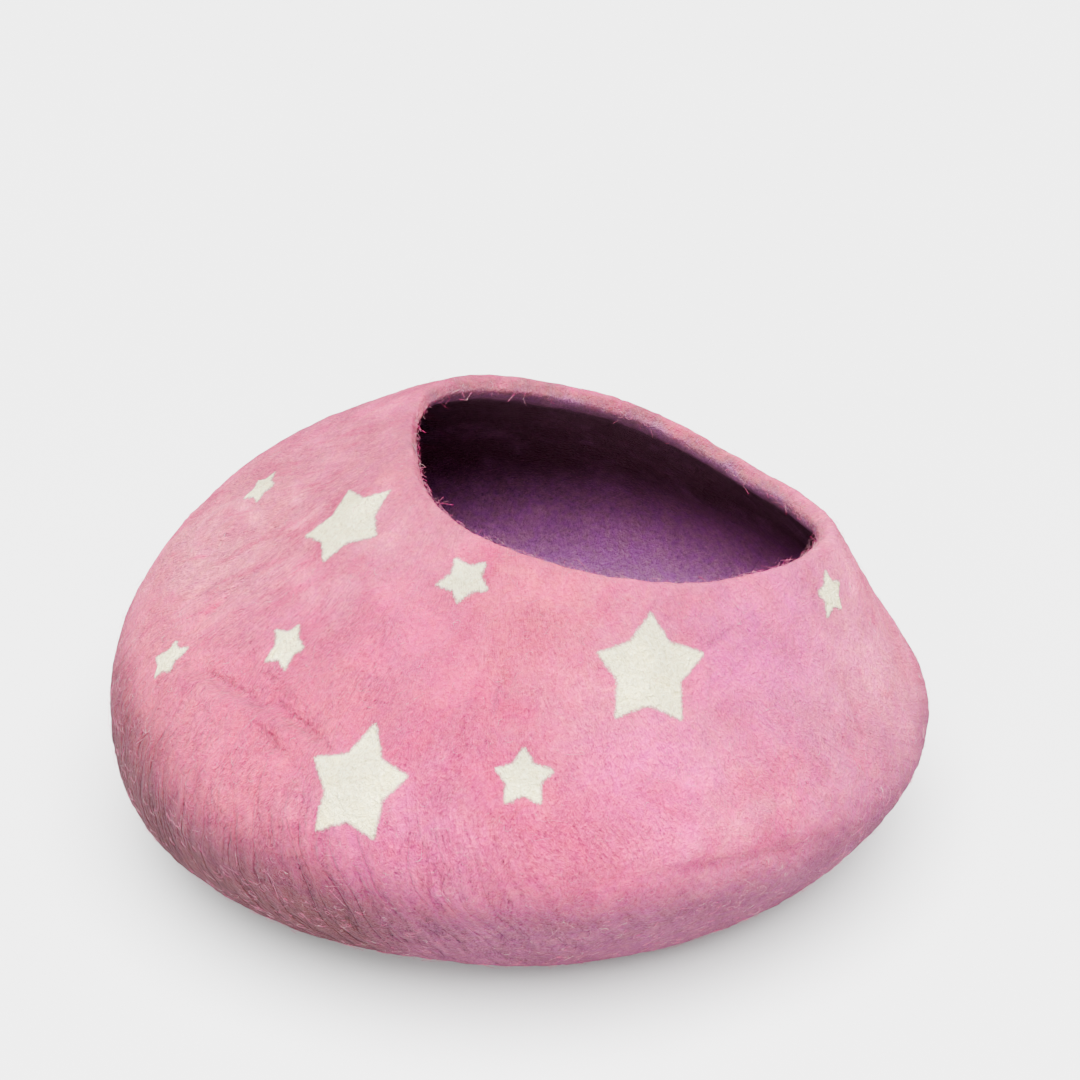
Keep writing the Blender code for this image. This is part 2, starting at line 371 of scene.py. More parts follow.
class Wire:
    # a node's socket, on which sums and products add Math nodes
    def __init__(self, tree, socket):
        self.tree = tree
        self.socket = socket

    def join(self, operation, *values):
        vectors = [v for v in values if isinstance(v, Wire) and v.socket.type in {"VECTOR", "RGBA"}]
        kind = "ShaderNodeVectorMath" if vectors else "ShaderNodeMath"
        return self.tree.add(kind, {"operation": operation}, dict(enumerate(values)))

    def __add__(self, other):
        return self.join("ADD", self, other)

    def __radd__(self, other):
        return self.join("ADD", other, self)

    def __sub__(self, other):
        return self.join("SUBTRACT", self, other)

    def __rsub__(self, other):
        return self.join("SUBTRACT", other, self)

    def __mul__(self, other):
        return self.join("MULTIPLY", self, other)

    def __rmul__(self, other):
        return self.join("MULTIPLY", other, self)

    def __truediv__(self, other):
        return self.join("DIVIDE", self, other)

    def __rtruediv__(self, other):
        return self.join("DIVIDE", other, self)

    def __neg__(self):
        return self.join("MULTIPLY", self, -1.0)

    def __abs__(self):
        return self.join("ABSOLUTE", self)

    def between(self, low, high):
        # 0 at low, 1 at high, smooth between them
        return self.tree.add("ShaderNodeMapRange", {"interpolation_type": "SMOOTHSTEP"},
                             {"Value": self, "From Min": low, "From Max": high})

    def measure(self, operation, other):
        # a number from two vectors
        return self.tree.add("ShaderNodeVectorMath", {"operation": operation},
                             {0: self, 1: tuple(other)}, "Value")

    def dot(self, direction):
        return self.measure("DOT_PRODUCT", direction)

    def distance(self, place):
        return self.measure("DISTANCE", place)

    def axes(self, names):
        return [self.tree.add("ShaderNodeSeparateXYZ", None, {0: self}, name) for name in names]


class NodeTree:
    def __init__(self, tree):
        self.tree = tree

    def add(self, kind, settings=None, inputs=None, output=0):
        node = self.tree.nodes.new(kind)
        for name, value in (settings or {}).items():
            setattr(node, name, value)
        for name, value in (inputs or {}).items():
            self.put(node, name, value)
        return Wire(self, self.pick(node.outputs, output))

    def pick(self, sockets, name):
        usable = [socket for socket in sockets if socket.enabled]
        if isinstance(name, int):
            return usable[name]
        return next(socket for socket in usable if socket.name == name)

    def put(self, node, name, value):
        socket = self.pick(node.inputs, name)
        if isinstance(value, Wire):
            self.tree.links.new(value.socket, socket)
        elif socket.type in {"VECTOR", "RGBA"} and isinstance(value, (int, float)):
            socket.default_value = (value,) * len(socket.default_value)
        elif socket.type == "RGBA":
            socket.default_value = (*value, 1.0)
        else:
            socket.default_value = value

    def noise(self, place, size, detail=2.0, roughness=0.5, distortion=0.0, output=0):
        # lumps about this size, in the unit of place, from 0 to 1
        return self.add("ShaderNodeTexNoise", None,
                        {"Vector": place, "Scale": 1.0 / size, "Detail": detail, "Roughness": roughness,
                         "Distortion": distortion}, output)

    def mix(self, share, first, second, blend="MIX"):
        return self.add("ShaderNodeMix", {"data_type": "RGBA", "blend_type": blend},
                        {"Factor": share, "A": first, "B": second}, "Result")


def geometryTree(name, sockets):
    # a Geometry Nodes tree with a mesh going in and out, and one named input for each row of sockets
    group = bpy.data.node_groups.new(name, "GeometryNodeTree")
    group.interface.new_socket("Geometry", in_out="INPUT", socket_type="NodeSocketGeometry")
    group.interface.new_socket("Geometry", in_out="OUTPUT", socket_type="NodeSocketGeometry")
    for label, kind in sockets.items():
        group.interface.new_socket(label, in_out="INPUT", socket_type="NodeSocket" + kind)
    tree = NodeTree(group)
    start = group.nodes.new("NodeGroupInput")
    inputs = {socket.name: Wire(tree, socket) for socket in start.outputs if socket.name}
    return tree, inputs


def endTree(tree, geometry, material):
    realized = tree.add("GeometryNodeRealizeInstances", None, {"Geometry": geometry})
    dressed = tree.add("GeometryNodeSetMaterial", None, {"Geometry": realized, "Material": material})
    end = tree.tree.nodes.new("NodeGroupOutput")
    tree.tree.links.new(dressed.socket, end.inputs[0])


def runTree(source, tree, values, name):
    # runs the tree on a copy of source's mesh and leaves the result as a plain mesh object
    holder = bpy.data.objects.new(name, source.data.copy())
    bpy.context.scene.collection.objects.link(holder)
    modifier = holder.modifiers.new("nodes", "NODES")
    modifier.node_group = tree.tree
    for item in tree.tree.interface.items_tree:
        if item.in_out == "INPUT" and item.name in values:
            modifier[item.identifier] = values[item.name]
    graph = bpy.context.evaluated_depsgraph_get()
    mesh = bpy.data.meshes.new_from_object(holder.evaluated_get(graph), depsgraph=graph)
    mesh.name = name
    old = holder.data
    holder.modifiers.clear()
    holder.data = mesh
    bpy.data.meshes.remove(old)
    print(name + ":", len(mesh.polygons), "faces")
    return holder


# what a user may change of the wall's relief; the names are those of the tree's inputs
relief = {
    "Unevenness": 1.0,           # of the whole wall
    "Ripple Depth": 2.6,
    "Inside Lumps": 1.8,
    "Floor Clearance": 5.0,      # the relief sets in from this height on the outside
}
# the unevenness: a slow swell, lumps and small dimples
swellColumns = ("size", "detail", "distortion", "depth")
swells = (
    (70.0, 1.0, 0.0, 3.0),
    (17.0, 1.5, 0.4, 2.1),
    (6.0, 1.0, 0.5, 1.3),
)
wallRelief = {
    "insideLumpSize": 26.0,
    "insideBlend": 12.0,         # past the crest of the lip, from the outside's relief to the inside's
    "floorBlend": 3.0,           # in floor clearances
}
# patches of fine parallel ripples where the wool was rubbed
rippleColumns = ("around", "up", "slant", "reach", "pitch", "share")
ripples = (
    (228, 0.70, 108, 55, 5.5, 1.0),
    (214, 0.72, 100, 45, 5.5, 0.8),
    (256, 0.66, 120, 50, 6.0, 1.0),
    (272, 0.70, 112, 45, 7.0, 0.6),
    (196, 0.84, 92, 50, 7.0, 1.1),
    (226, 0.79, 75, 38, 5.5, 0.8),
    (252, 0.88, 74, 40, 6.5, 0.8),
    (300, 0.82, 96, 50, 8.0, 0.5),
    (176, 0.86, 96, 55, 8.0, 0.6),
    (150, 0.78, 100, 55, 7.0, 0.7),
    (100, 0.72, 80, 60, 8.0, 0.7),
    (60, 0.80, 95, 55, 7.0, 0.7),
    (15, 0.74, 85, 55, 7.5, 0.7),
)
# a ripple's pace along its crest and into the wall, as shares of its pace across
rippleRun = {"along": 0.11, "inward": 0.3, "distortion": 0.3, "fade": (0.35, 1.25)}


def ripplePatch(tree, place, patch, shift):
    middle, along, across, facing = slantedFrame(patch)
    offset = place - tuple(middle + shift)
    lengthways = offset.dot(along) * (rippleRun["along"] / patch["pitch"])
    sideways = offset.dot(across) * (1.0 / patch["pitch"])
    inward = offset.dot(facing) * (rippleRun["inward"] / patch["pitch"])
    combed = tree.add("ShaderNodeCombineXYZ", None, {0: lengthways, 1: sideways, 2: inward})
    wave = tree.noise(combed, 1.0, 1.0, 0.5, rippleRun["distortion"]) - 0.5
    away = place.distance(middle + shift) * (1.0 / patch["reach"])
    return wave * (1.0 - away.between(*rippleRun["fade"])) * (2.0 * patch["share"])


def makeReliefTree(shift):
    tree, given = geometryTree("feltRelief", {
        "Material": "Material", "Unevenness": "Float", "Ripple Depth": "Float", "Inside Lumps": "Float",
        "Floor Clearance": "Float"})
    place = tree.add("GeometryNodeInputPosition") * (1.0 / mm)
    past = tree.add("GeometryNodeInputNamedAttribute", {"data_type": "FLOAT"}, {"Name": "pastCrest"})
    height = place.axes("Z")[0]
    inside = past.between(0.0, wallRelief["insideBlend"])

    uneven = 0.0
    for layer in named(swellColumns, swells):
        lump = tree.noise(place, layer["size"], layer["detail"], 0.5, layer["distortion"]) - 0.5
        uneven = uneven + lump * layer["depth"]
    outer = uneven * given["Unevenness"]
    for patch in named(rippleColumns, ripples):
        outer = outer + ripplePatch(tree, place, patch, shift) * given["Ripple Depth"]
    inner = (tree.noise(place + 300.0, wallRelief["insideLumpSize"], 2.0, 0.5, 0.5) - 0.5) * 2.0
    clear = (height / given["Floor Clearance"] - 1.0).between(0.0, wallRelief["floorBlend"])
    push = outer * clear * (1.0 - inside) + inner * given["Inside Lumps"] * inside
    offset = tree.add("GeometryNodeInputNormal") * (push * mm)
    moved = tree.add("GeometryNodeSetPosition", None, {"Geometry": given["Geometry"], "Offset": offset})
    endTree(tree, moved, given["Material"])
    return tree


star = {
    "notch": 0.6,
    "edgeStep": 0.9,             # between vertices along the outline
    "rings": 20,
    "fringe": 1.6,               # how far the thin edge of loose fibres reaches past the outline
    "proud": 0.45,               # how far the middle stands out of the felt
    "fringeLift": 0.12,
    "bevel": 2.2,                # width over which the edge comes down
    "underside": 1.1,            # how deep the hidden side lies in the felt
    "lift": 30.0,                # the flat star is laid down on the wall from this far out
    "ragged": 0.12,
    "roundings": 2,              # passes that soften the tips and notches
    "crowding": 1.3,             # how much closer the rings lie near the outline
    "firstSeed": 40,
}
# tips holds how far each tip reaches, from the top one counter-clockwise
starColumns = ("name", "around", "up", "reach", "stretch", "stretchTurn", "turn", "tips")
stars = (
    ("star_top_left_small", 170.5, 0.873, 11.0, 1.30, 144, -33, (1.00, 1.05, 0.95, 1.10, 1.00)),
    ("star_top_left_large", 200.5, 0.943, 25.5, 1.25, 88, -7, (1.00, 1.04, 1.02, 0.95, 1.03)),
    ("star_under_rim", 237.5, 0.965, 13.5, 1.12, 31, 37, (1.12, 1.12, 1.00, 1.02, 0.98)),
    ("star_left_small", 219.0, 0.848, 12.5, 1.25, 109, 3, (1.00, 1.12, 1.14, 1.04, 0.98)),
    ("star_far_left_small", 202.0, 0.750, 11.5, 1.20, 91, -30, (1.15, 1.00, 1.06, 1.00, 1.00)),
    ("star_low_left_large", 245.0, 0.755, 28.5, 1.15, 80, 0, (1.08, 1.02, 1.06, 1.01, 0.97)),
    ("star_low_middle", 267.0, 0.805, 15.0, 1.03, 132, -3, (1.07, 1.00, 1.08, 1.04, 1.07)),
    ("star_right_large", 282.5, 0.920, 29.5, 1.08, 46, -14, (1.00, 0.98, 1.02, 1.04, 1.08)),
    ("star_far_right_small", 335.0, 0.943, 12.0, 1.15, 14, -16, (1.08, 0.92, 1.15, 1.12, 0.95)),
)


def starCorners(row):
    corners = []
    cornerCount = 2 * len(row["tips"])
    lean = math.radians(row["stretchTurn"])
    longer = math.sqrt(row["stretch"])
    for i in range(cornerCount):
        angle = math.radians(90.0 + row["turn"] + 360.0 / cornerCount * i)
        reach = row["reach"] * (row["tips"][i // 2] if i % 2 == 0 else star["notch"])
        along = reach * math.cos(angle - lean) * longer
        across = reach * math.sin(angle - lean) / longer
        corners.append((along * math.cos(lean) - across * math.sin(lean),
                        along * math.sin(lean) + across * math.cos(lean)))
    return np.array(corners)


def sideOf(outline):
    # unit directions out of a counter-clockwise outline
    tangent = np.roll(outline, -1, axis=0) - np.roll(outline, 1, axis=0)
    side = np.stack([tangent[:, 1], -tangent[:, 0]], axis=1)
    return side / np.linalg.norm(side, axis=1, keepdims=True)


def starOutline(row, dice):
    # the cut edge, a little ragged, with its tips and notches slightly rounded
    corners = starCorners(row)
    points = []
    for i, corner in enumerate(corners):
        after = corners[(i + 1) % len(corners)]
        length = np.linalg.norm(after - corner)
        for share in steps(0.0, 1.0, star["edgeStep"] / length):
            points.append(corner + (after - corner) * share)
    points = np.array(points)
    for rounding in range(star["roundings"]):
        points = (np.roll(points, 1, axis=0) + 2.0 * points + np.roll(points, -1, axis=0)) / 4.0
    # each step of the wander runs on into its neighbours
    wander = dice.normal(0.0, 1.0, len(points))
    wander = 0.6 * wander + 0.9 * (np.roll(wander, 1) + np.roll(wander, -1) + np.roll(wander, 2)) / 2.0
    return points + sideOf(points) * (wander * star["ragged"])[:, None]


def fromOutline(points, outline):
    # distance of flat points from the outline
    start, end = outline, np.roll(outline, -1, axis=0)
    along = end - start
    offset = points[:, None, :] - start[None]
    share = np.clip((offset * along).sum(axis=2) / (along * along).sum(axis=1), 0.0, 1.0)
    return np.linalg.norm(offset - share[..., None] * along, axis=2).min(axis=1)


def makeStar(row, number, shift, surface, material):
    # rings of vertices from the buried underside over the fringe and the outline to the middle
    outline = starOutline(row, np.random.default_rng(star["firstSeed"] + number))
    columns = len(outline)
    sharesIn = 1.0 - (np.arange(star["rings"]) / star["rings"]) ** star["crowding"]
    fringe = outline + sideOf(outline) * star["fringe"]
    inner = np.vstack([outline * share for share in sharesIn])
    flat = np.vstack([fringe, fringe, inner, np.zeros((2, 2))])
    inset = fromOutline(flat, outline)
    inset[:2 * columns] *= -1.0
    out = star["fringeLift"] + star["proud"] * smooth((inset + star["fringe"]) / star["bevel"])
    out[:columns] = out[-1] = -star["underside"]

    middle, level, rising, facing = frameAt(row["around"], row["up"])
    start = middle + shift + np.outer(flat[:, 0], level) + np.outer(flat[:, 1], rising)
    placed = []
    for point, height in zip(start + facing * star["lift"], out):
        hit, normal = surface.ray_cast(Vector(point * mm), Vector(-facing))[:2]
        placed.append(np.array(hit) / mm + np.array(normal) * height)
    ringCount = star["rings"] + 2
    top = columns * ringCount
    faces = gridFaces(ringCount, columns)
    faces += fanFaces(top, top - columns, columns, True)
    faces += fanFaces(top + 1, 0, columns, False)
    made = makeMesh("felt_" + row["name"], np.array(placed) * mm, faces, material)
    addAttribute(made.data, "inset", inset)
    addAttribute(made.data, "rise", lie["fanHeight"] + flat[:, 1])
    return made


# loose fibres standing out of the felt; the names are those of the tree's inputs, density is per
# square metre, and Past From and Past To are distances past the crest of the lip
fuzzLayers = (
    {"name": "felt_wall_fuzz", "Density": 14000.0, "Past From": -500.0, "Past To": -4.0, "Lowest": 16.0,
     "Tilt": 0.16, "Size": 1.0, "Thickness": 0.045, "Seed": 3},
    {"name": "felt_rim_curls", "Density": 190000.0, "Past From": -5.0, "Past To": 8.0, "Lowest": 16.0,
     "Tilt": 0.85, "Size": 0.85, "Thickness": 0.045, "Seed": 5},
)
fuzzSpread = {
    "edgeFade": 3.0, "lowFade": 10.0,      # over which they set in at the lip and near the floor
    "backY": (10.0, 50.0), "backThinning": 0.8,
    "roll": 1.0, "twirl": 10.0, "sizes": (0.5, 1.5),
}
# the bent shapes that the fibres take, as spirals: turns, first and last radius, height in mm
curlColumns = ("turns", "first", "last", "height")
curlShapes = (
    (0.30, 5.0, 3.2, 0.4),
    (0.55, 2.6, 1.2, 0.8),
    (0.65, 2.2, 1.0, 1.4),
    (0.70, 2.0, 1.5, 0.5),
    (0.20, 7.5, 5.5, 0.5),
)


def makeFuzzTree():
    tree, given = geometryTree("looseFibres", {
        "Material": "Material", "Density": "Float", "Past From": "Float", "Past To": "Float",
        "Lowest": "Float", "Tilt": "Float", "Size": "Float", "Thickness": "Float", "Seed": "Int"})
    section = tree.add("GeometryNodeCurvePrimitiveCircle", None,
                       {"Resolution": 3, "Radius": given["Thickness"]})
    shapes = tree.tree.nodes.new("GeometryNodeJoinGeometry")
    for curl in named(curlColumns, curlShapes):
        spiral = tree.add("GeometryNodeCurveSpiral", None,
                          {"Resolution": 8, "Rotations": curl["turns"], "Start Radius": curl["first"],
                           "End Radius": curl["last"], "Height": curl["height"]})
        solid = tree.add("GeometryNodeCurveToMesh", None,
                         {"Curve": spiral, "Profile Curve": section, "Fill Caps": True})
        instance = tree.add("GeometryNodeGeometryToInstance", None, {0: solid})
        tree.put(shapes, 0, instance)

    past = tree.add("GeometryNodeInputNamedAttribute", {"data_type": "FLOAT"}, {"Name": "pastCrest"})
    y, height = (tree.add("GeometryNodeInputPosition") * (1.0 / mm)).axes("YZ")
    share = (past - given["Past From"]).between(0.0, fuzzSpread["edgeFade"])
    share = share * (given["Past To"] - past).between(0.0, fuzzSpread["edgeFade"])
    share = share * (height - given["Lowest"]).between(0.0, fuzzSpread["lowFade"])
    share = share * (1.0 - y.between(*fuzzSpread["backY"]) * fuzzSpread["backThinning"])
    scatter = tree.tree.nodes.new("GeometryNodeDistributePointsOnFaces")
    tree.put(scatter, "Mesh", given["Geometry"])
    tree.put(scatter, "Density", share * given["Density"])
    tree.put(scatter, "Seed", given["Seed"])
    points, upright = (Wire(tree, tree.pick(scatter.outputs, name)) for name in ("Points", "Rotation"))
    most = Vector((fuzzSpread["roll"], fuzzSpread["roll"], fuzzSpread["twirl"]))
    lean = tree.add("FunctionNodeRandomValue", {"data_type": "FLOAT_VECTOR"},
                    {"Min": -most, "Max": most, "Seed": given["Seed"]})
    turned = tree.add("FunctionNodeRotateRotation", {"rotation_space": "LOCAL"},
                      {0: upright, 1: lean * given["Tilt"]})
    smallest, largest = fuzzSpread["sizes"]
    size = tree.add("FunctionNodeRandomValue", {"data_type": "FLOAT"},
                    {"Min": smallest, "Max": largest, "Seed": given["Seed"]}) * given["Size"] * mm
    placed = tree.add("GeometryNodeInstanceOnPoints", None,
                      {"Points": points, "Instance": Wire(tree, shapes.outputs[0]),
                       "Pick Instance": True, "Rotation": turned, "Scale": size})
    endTree(tree, placed, given["Material"])
    return tree


def newMaterial(name):
    material = bpy.data.materials.new(name)
    material.use_nodes = True
    material.node_tree.nodes.clear()
    tree = NodeTree(material.node_tree)
    place = tree.add("ShaderNodeTexCoord", None, None, "Object") * (1.0 / mm)
    return material, tree, place


def endMaterial(tree, colour, roughness, sheen, bumpHeight=None, alpha=None):
    shader = tree.tree.nodes.new("ShaderNodeBsdfPrincipled")
    tree.put(shader, "Base Color", colour)
    tree.put(shader, "Roughness", roughness)
    tree.put(shader, "IOR", 1.4)
    tree.put(shader, "Specular IOR Level", 0.07)
    tree.put(shader, "Sheen Weight", sheen["weight"])
    tree.put(shader, "Sheen Roughness", sheen["roughness"])
    tree.put(shader, "Sheen Tint", sheen["tint"])
    if alpha:
        tree.put(shader, "Alpha", alpha)
    if bumpHeight:
        normal = tree.add("ShaderNodeBump", None,
                          {"Height": bumpHeight, "Strength": 1.0, "Distance": mm}, "Normal")
        tree.put(shader, "Normal", normal)
    end = tree.tree.nodes.new("ShaderNodeOutputMaterial")
    tree.tree.links.new(shader.outputs[0], end.inputs["Surface"])


# how the matted fibres lie: mostly up the wall, fanning out above fanHeight and wandering slowly
lie = {
    "girth": 170.0,              # the radius at which level distances are true
    "fan": 0.0023, "fanHeight": 230.0,
    "wanderSize": 60.0, "wander": 18.0, "drift": 12.0,
}
fibres = {
    "regionSize": 26.0,          # of the regions where one layer of strokes covers the others
    "curlSize": 3.2, "curlTurns": 4.0, "curlWidth": 0.26,
    "grainSize": 1.0, "pebbleSize": 2.4,
    "roughness": 0.92, "grainRoughness": 0.12,
}
# layers of soft strokes, each leaning its own way from the lie
strokeColumns = ("lean", "wide", "long", "strength")
strokeLayers = (
    (0.0, 0.80, 5.0, 1.0),
    (0.8, 0.70, 3.6, 1.1),
    (-0.6, 0.70, 3.6, 1.1),
    (0.3, 1.60, 8.0, 0.8),
)


def feltLie(tree, place):
    # distances in mm across and along the fibres
    x, y = place.axes("XY")
    turn = tree.add("ShaderNodeMath", {"operation": "ARCTAN2"}, {0: x, 1: -y}) * lie["girth"]
    rise = tree.add("ShaderNodeAttribute", {"attribute_name": "rise"}, None, "Fac")
    sideways, lengthways = (tree.noise(place, lie["wanderSize"], 1.0, output=1) - 0.5).axes("XY")
    above = tree.add("ShaderNodeMath", {"operation": "MAXIMUM"}, {0: rise - lie["fanHeight"], 1: 0.0})
    across = turn * (1.0 + above * lie["fan"]) + sideways * lie["wander"]
    return across, rise + lengthways * lie["drift"]


def stretched(tree, across, wide, along, long, layer=0.0):
    # where to look up a noise so that its lumps are this wide and this long
    return tree.add("ShaderNodeCombineXYZ", None,
                    {0: across * (1.0 / wide), 1: along * (1.0 / long), 2: layer})


def crossingStrokes(tree, place):
    across, along = feltLie(tree, place)
    strokes = 0.0
    for i, layer in enumerate(named(strokeColumns, strokeLayers)):
        lean = layer["lean"]
        leaning = stretched(tree, across + along * lean, layer["wide"], along - across * lean,
                            layer["long"], 20.0 * i)
        shows = tree.noise(place + 37.0 * i, fibres["regionSize"], 1.0).between(0.40, 0.60) * 0.8 + 0.2
        strokes = strokes + (tree.noise(leaning, 1.0, 2.0, 0.6, 0.3) - 0.5) * shows * layer["strength"]
    return strokes


def curlyStrands(tree, place):
    # thin curly lines: contour lines of a soft noise
    field = tree.noise(place, fibres["curlSize"], 1.5, 0.5, 0.8) * fibres["curlTurns"]
    wrapped = tree.add("ShaderNodeMath", {"operation": "PINGPONG"}, {0: field, 1: 0.5})
    return 1.0 - wrapped.between(0.0, fibres["curlWidth"])


def feltFibres(tree, place):
    # the strands run from 0 to 1, the others about from -0.5 to 0.5
    return {"strokes": crossingStrokes(tree, place),
            "curls": curlyStrands(tree, place),
            "grain": tree.noise(place, fibres["grainSize"], 2.0, 0.6, 0.6) - 0.5,
            "pebble": tree.noise(place, fibres["pebbleSize"], 2.0, 0.6, 0.3) - 0.5}


def weighted(layers, weights):
    return sum(layers[name] * weight for name, weight in weights.items())


def endFelt(tree, colour, felt, values, alpha=None):
    # lights and roughens the colour by the felt's layers
    light = weighted(felt, values["light"])
    scale = tree.add("ShaderNodeVectorMath", {"operation": "MULTIPLY_ADD"},
                     {0: light, 1: values["shade"]["slope"], 2: values["shade"]["middle"]})
    roughness = fibres["roughness"] + felt["grain"] * fibres["grainRoughness"]
    endMaterial(tree, colour * scale, roughness, values["sheen"], weighted(felt, values["bump"]), alpha)


# the dyed wools, and the colours that paint light and shade on the wall, in linear colour
pinkFelt = {
    "bloom": (0.750, 0.120, 0.262),
    "pale": (0.690, 0.078, 0.205),
    "rose": (0.590, 0.023, 0.158),
    "deep": (0.485, 0.009, 0.108),
    "salmon": (0.610, 0.042, 0.122),
    "lilac": (0.515, 0.031, 0.208),
    "shell": (0.760, 0.150, 0.230),
    "orchid": (0.780, 0.035, 0.285),
    # painted shade where the wall turns under, in a duller mauve
    "underside": (0.182, 0.045, 0.101),
    # painted shade low at the far left
    "paintedLeftShade": (0.056, 0.023, 0.023),
    "purple": (0.012, 0.0034, 0.010),
    # painted light where light falls through the opening onto the floor inside
    "paintedLightInside": (0.450, 0.175, 0.430),
    # painted light on the inner face of the lip
    "paintedLightLip": (0.200, 0.078, 0.160),
    # the blend from pink to purple over the lip, partly painted light
    "mauve": (0.270, 0.066, 0.086),
    # how much each layer of the felt lightens the colour, and how far it stands out in mm; through the
    # ripples and cuts the colour is painted shade in their hollows and painted light on the ripples'
    # crests
    "light": {"strokes": 1.2, "curls": 0.10, "grain": 0.8, "pebble": 0.75, "ripple": 1.1, "cuts": -0.15},
    "bump": {"pebble": 3.0, "grain": 1.2, "strokes": 2.0, "curls": 0.3, "ripple": 7.5, "cuts": -2.4,
             "smears": 2.0},
    "shade": {"slope": (0.93, 0.79, 0.83), "middle": (0.80, 0.75, 0.77)},
    "sheen": {"weight": 0.12, "roughness": 0.3, "tint": (1.0, 0.50, 0.66)},
}
# broad patches of another pink, each round one place on the wall; the underside row is painted shade
tintColumns = ("around", "up", "reach", "wool", "share")
tints = (
    (243, 0.86, 80, "deep", 0.75),
    (226, 0.79, 60, "deep", 0.75),
    (252, 0.97, 50, "salmon", 0.75),
    (283, 0.84, 60, "pale", 0.60),
    (288, 0.785, 44, "orchid", 0.85),
    (254, 0.66, 60, "lilac", 0.55),
    (276, 0.70, 60, "deep", 0.60),
    (318, 0.84, 70, "lilac", 0.55),
    (342, 0.78, 90, "lilac", 0.45),
    (338, 0.88, 85, "bloom", 0.85),
    (296, 1.00, 28, "bloom", 0.90),
    (310, 0.94, 62, "lilac", 0.90),
    (242, 0.91, 46, "rose", 0.60),
    (190, 0.95, 70, "shell", 0.35),
    (199, 0.85, 50, "rose", 0.50),
    (180, 0.82, 80, "shell", 0.85),
    # painted shade low on the right
    (325, 0.62, 60, "underside", 0.35),
    (205, 0.72, 70, "salmon", 0.70),
    (230, 0.62, 60, "salmon", 0.60),
    (350, 0.70, 60, "bloom", 0.90),
    (120, 0.86, 80, "pale", 0.50),
    (100, 0.74, 70, "deep", 0.35),
    (60, 0.74, 80, "lilac", 0.45),
    (20, 0.86, 70, "pale", 0.50),
)
# sizes in mm of the patches of dye, and the noise values between which each pink comes in
mottling = {
    "warpSize": 50.0, "warp": 46.0,              # how far the patches stray from round
    "patchSize": 17.0, "patches": (0.34, 0.68),
    "deepSize": 34.0, "deep": (0.52, 0.74), "deepShare": 0.6,
    "salmonSize": 60.0, "salmon": (0.54, 0.72), "salmonShare": 0.4,
    "tintFade": (0.2, 1.3),                      # in shares of a tint's reach
    "stretchWarp": 0.3,                          # how much of the warp the wall's stretches take
    "hueSize": 7.0, "hue": (0.30, 0.70),
}
# dyed fibres of several pinks lie side by side, so the colour is scaled between these two
fibreHues = {"cool": (0.97, 0.83, 1.09), "warm": (1.03, 1.15, 0.92)}


def mottledPinks(tree, warped, shift):
    patches = tree.noise(warped, mottling["patchSize"], 4.0, 0.58)
    colour = tree.mix(patches.between(*mottling["patches"]), pinkFelt["rose"], pinkFelt["pale"])
    for tint in named(tintColumns, tints):
        middle = frameAt(tint["around"], tint["up"])[0] + shift
        away = warped.distance(middle) * (1.0 / tint["reach"])
        near = (1.0 - away.between(*mottling["tintFade"])) * tint["share"]
        colour = tree.mix(near, colour, pinkFelt[tint["wool"]])
    deep = tree.noise(warped + 500.0, mottling["deepSize"], 3.0, 0.55).between(*mottling["deep"])
    colour = tree.mix(deep * mottling["deepShare"], colour, pinkFelt["deep"])
    salmon = tree.noise(warped + 900.0, mottling["salmonSize"], 2.0, 0.5).between(*mottling["salmon"])
    return tree.mix(salmon * mottling["salmonShare"], colour, pinkFelt["salmon"])


# where on the pouch its stretches begin and end, in mm from its middle and above the floor
stretches = {
    "frontY": (-70.0, 110.0),
    "leftX": (-70.0, 90.0),
    # heights over which the painted shade under the wall fades out
    "underHeight": (62.0, 150.0),
    "lowerHeight": (100.0, 190.0),
    # heights over which the painted light low inside fades out
    "insideHeight": (60.0, 140.0),
    # painted shade low on the left, and stronger at the far left
    "leftShadeReach": (30.0, 95.0), "leftShadeHeight": (70.0, 150.0),
    "farLeft": (150.0, 205.0), "farHeight": (125.0, 160.0), "farShare": 0.8,
    "upperLeft": (30.0, 120.0), "upperHeight": (140.0, 185.0),
    "underBack": 0.4, "lowerBack": 0.25, "lowerRight": 0.4,      # what is left of them there
    "underFibres": 0.4, "under": (0.1, 0.95),
}


def partly(mask, least):
    return mask * (1.0 - least) + least


def wallStretches(place):
    x, y, height = place.axes("XYZ")
    left = 1.0 - x.between(*stretches["leftX"])
    front = 1.0 - y.between(*stretches["frontY"])
    under = 1.0 - height.between(*stretches["underHeight"])
    lower = 1.0 - height.between(*stretches["lowerHeight"])
    # painted shade low on the left and at the far left, on the front only
    near = (-x).between(*stretches["leftShadeReach"]) * (1.0 - height.between(*stretches["leftShadeHeight"]))
    far = (-x).between(*stretches["farLeft"]) * (1.0 - height.between(*stretches["farHeight"]))
    upper = height.between(*stretches["upperHeight"])
    return {"left": left,
            "back": 1.0 - front,
            "under": under * partly(front, stretches["underBack"]),
            "lower": (lower * partly(left, stretches["lowerRight"])
                      * partly(front, stretches["lowerBack"])),
            "paintedLeftShadeMask": (1.0 - (1.0 - near) * (1.0 - far * stretches["farShare"])) * front,
            "upperLeft": (-x).between(*stretches["upperLeft"]) * upper,
            "paintedLightLowInside": 1.0 - height.between(*stretches["insideHeight"])}


# where the pink gives way over the lip, in mm past its crest, and how raggedly: a mauve blend that is
# partly painted light, then a band of painted light on the lip's inner face, then the purple inside
lip = {
    "raggedSize": 16.0, "ragged": 20.0, "raggedGrain": 7.0, "raggedStrokes": 5.0,
    "backSooner": 7.0,           # how much sooner it gives way at the back
    "mauve": (-3.0, 7.0), "lilac": (3.0, 13.0), "inside": (15.0, 26.0),
    "cloudSize": 22.0, "clouds": (0.45, 0.80), "cloudShare": 0.12,
    "strokesFade": (4.0, 16.0), "fadedShare": 0.6,
}


